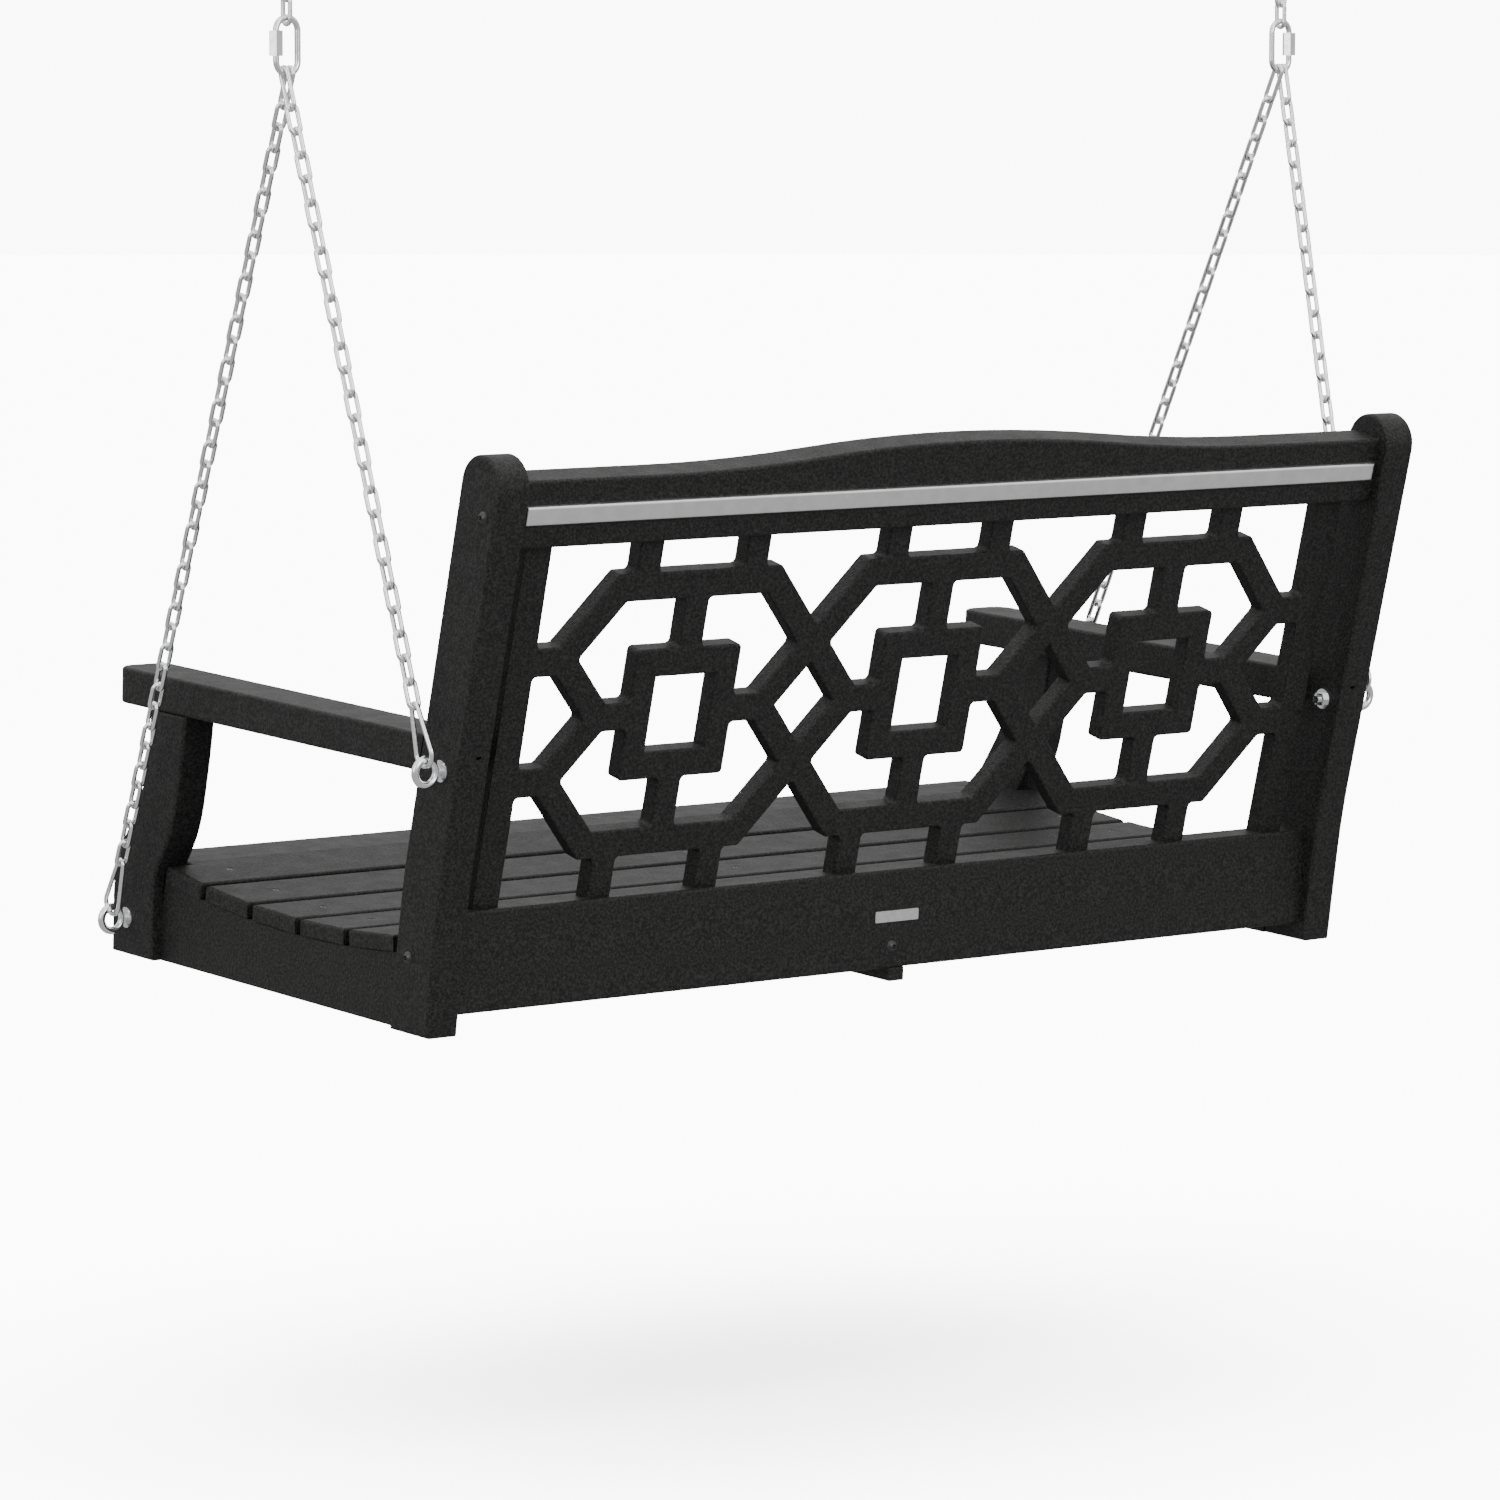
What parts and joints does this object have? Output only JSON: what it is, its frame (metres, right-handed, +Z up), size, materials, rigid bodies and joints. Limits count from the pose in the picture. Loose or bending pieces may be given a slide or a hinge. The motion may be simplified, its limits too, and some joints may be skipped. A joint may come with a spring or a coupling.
{
  "type": "porch swing",
  "caption": "Hanging porch swing bench with a pierced fretwork back, arms and a slatted seat, hung on chains from ceiling hangers.",
  "frame": {"origin": "on the ceiling plane, midway between the two ceiling hangers", "axes": "+X to the sitter's left, -Y to the front of the swing, +Z up"},
  "size_m": [1.3706, 0.7044, 1.1502],
  "materials": {
    "black_lumber": "fine leathery moulded texture on broad faces",
    "satin_aluminium": "satin",
    "label_metal": "brushed, blank",
    "black_screws": "black coated steel",
    "zinc_hardware": "bright zinc",
    "zinc_chain": "bright zinc"
  },
  "bodies": {
    "ceiling_mount": {"ceiling_hanger_left": "zinc_hardware", "ceiling_hanger_right": "zinc_hardware"},
    "hanging_links": {"upper_chain_left": "zinc_chain", "quick_link_left": "zinc_hardware", "upper_chain_right": "zinc_chain", "quick_link_right": "zinc_hardware"},
    "seat_frame": {"rear_post_left": "black_lumber", "front_leg_left": "black_lumber", "arm_left": "black_lumber", "side_rail_left": "black_lumber", "rear_post_right": "black_lumber", "front_leg_right": "black_lumber", "arm_right": "black_lumber", "side_rail_right": "black_lumber", "rear_apron": "black_lumber", "front_apron": "black_lumber", "crest_rail": "black_lumber", "fretwork_panel": "black_lumber", "seat_support_left": "black_lumber", "seat_support_middle": "black_lumber", "seat_support_right": "black_lumber", "seat_slat_front": "black_lumber", "seat_slat_rear": "black_lumber", "seat_slat_1": "black_lumber", "seat_slat_2": "black_lumber", "seat_slat_3": "black_lumber", "seat_slat_4": "black_lumber", "seat_slat_5": "black_lumber", "stiffener_bar": "satin_aluminium", "label_plate": "label_metal", "slat_screws": "black_screws", "frame_screws": "black_screws", "post_rear_screws": "black_screws", "eye_bolt_rear_left": "zinc_hardware", "chain_rear_left": "zinc_chain", "end_link_rear_left": "zinc_chain", "eye_bolt_rear_right": "zinc_hardware", "chain_rear_right": "zinc_chain", "end_link_rear_right": "zinc_chain", "eye_bolt_front_left": "zinc_hardware", "chain_front_left": "zinc_chain", "end_link_front_left": "zinc_chain", "eye_bolt_front_right": "zinc_hardware", "chain_front_right": "zinc_chain", "end_link_front_right": "zinc_chain", "eye_washers": "zinc_hardware", "eye_nuts": "zinc_hardware"},
    "nut_left": {"quick_link_nut_left": "zinc_hardware"},
    "nut_right": {"quick_link_nut_right": "zinc_hardware"}
  },
  "joints": [
    {"name": "hanger_swing", "type": "hinge", "parent": "ceiling_mount", "child": "hanging_links", "pos_m": [0, 0, -0.034], "axis": [1, 0, 0], "range_deg": [-20, 20]},
    {"name": "seat_swing", "type": "hinge", "parent": "hanging_links", "child": "seat_frame", "pos_m": [0, 0, -0.1997], "axis": [1, 0, 0], "range_deg": [-10, 10]},
    {"name": "nut_travel_left", "type": "slide", "parent": "hanging_links", "child": "nut_left", "axis": [0, 0, -1], "range_m": [0, 0.005]},
    {"name": "nut_travel_right", "type": "slide", "parent": "hanging_links", "child": "nut_right", "axis": [0, 0, -1], "range_m": [0, 0.005]}
  ]
}
